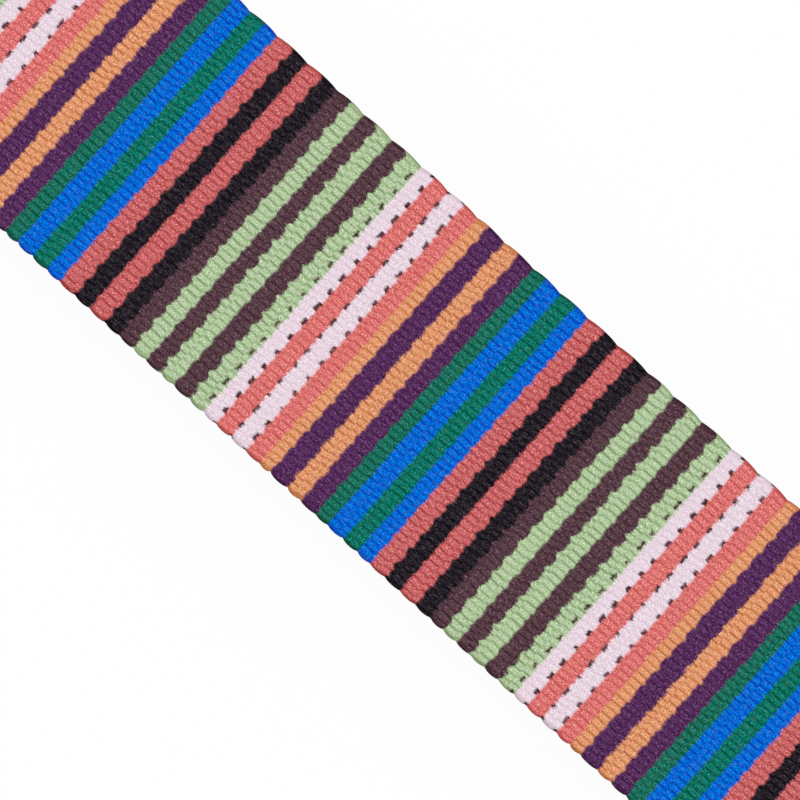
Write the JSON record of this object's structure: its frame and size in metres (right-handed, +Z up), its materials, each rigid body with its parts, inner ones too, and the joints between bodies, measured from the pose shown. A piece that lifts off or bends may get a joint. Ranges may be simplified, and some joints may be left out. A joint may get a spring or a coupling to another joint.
{
  "type": "guitar strap",
  "caption": "Adjustable woven guitar strap with cross stripes, leather end tabs with strap-button holes, wire ring and metal slider, folded in half.",
  "frame": {"origin": "middle of the folded strap's box, on the surface that it lies on", "axes": "+X along the strap towards the fold, +Y across the strap, +Z up"},
  "size_m": [0.7711, 0.0624, 0.0152],
  "materials": {
    "webbing": "striped jacquard weave, matt",
    "leather": "smooth black leather, semi-matt",
    "hardware": "nickel plated",
    "thread": "twisted polyester thread"
  },
  "bodies": {
    "strap": {"webbing_front_lap": "webbing", "webbing_front_run": "webbing", "webbing_fold": "webbing", "webbing_rear_run": "webbing", "webbing_adjuster_run": "webbing", "front_tab_face": "leather", "front_tab_backing": "leather", "front_tab_needle_thread": "thread", "front_tab_bobbin_thread": "thread"},
    "ring_bight": {"webbing_ring_bight": "webbing", "webbing_return_run": "webbing"},
    "ring": {"rectangular_ring": "hardware"},
    "rear_tab": {"rear_tab_leather": "leather", "rear_tab_needle_thread": "thread", "rear_tab_bobbin_thread": "thread"},
    "slider": {"slider_frame": "hardware", "slider_center_bar": "hardware", "webbing_slider_loop": "webbing", "slider_loop_needle_thread": "thread", "slider_loop_bobbin_thread": "thread"}
  },
  "joints": [
    {"name": "length_adjust", "type": "slide", "parent": "strap", "child": "ring_bight", "axis": [1, 0, 0], "range_m": [-0.1, 0.13], "deforming": ["webbing_adjuster_run"]},
    {"name": "slider_travel", "type": "slide", "parent": "ring_bight", "child": "slider", "axis": [1, 0, 0], "range_m": [-0.1, 0.13], "deforming": ["webbing_return_run"]},
    {"name": "ring_swing", "type": "hinge", "parent": "ring_bight", "child": "ring", "pos_m": [-0.12055, 0, 0.0078], "axis": [0, 1, 0], "range_deg": [0, 60]},
    {"name": "tab_swing", "type": "hinge", "parent": "ring", "child": "rear_tab", "pos_m": [-0.13755, 0, 0.0078], "axis": [0, 1, 0], "range_deg": [0, 90]}
  ],
  "couplings": [
    {"joint": "slider_travel", "follows": "length_adjust", "ratio": 1}
  ]
}
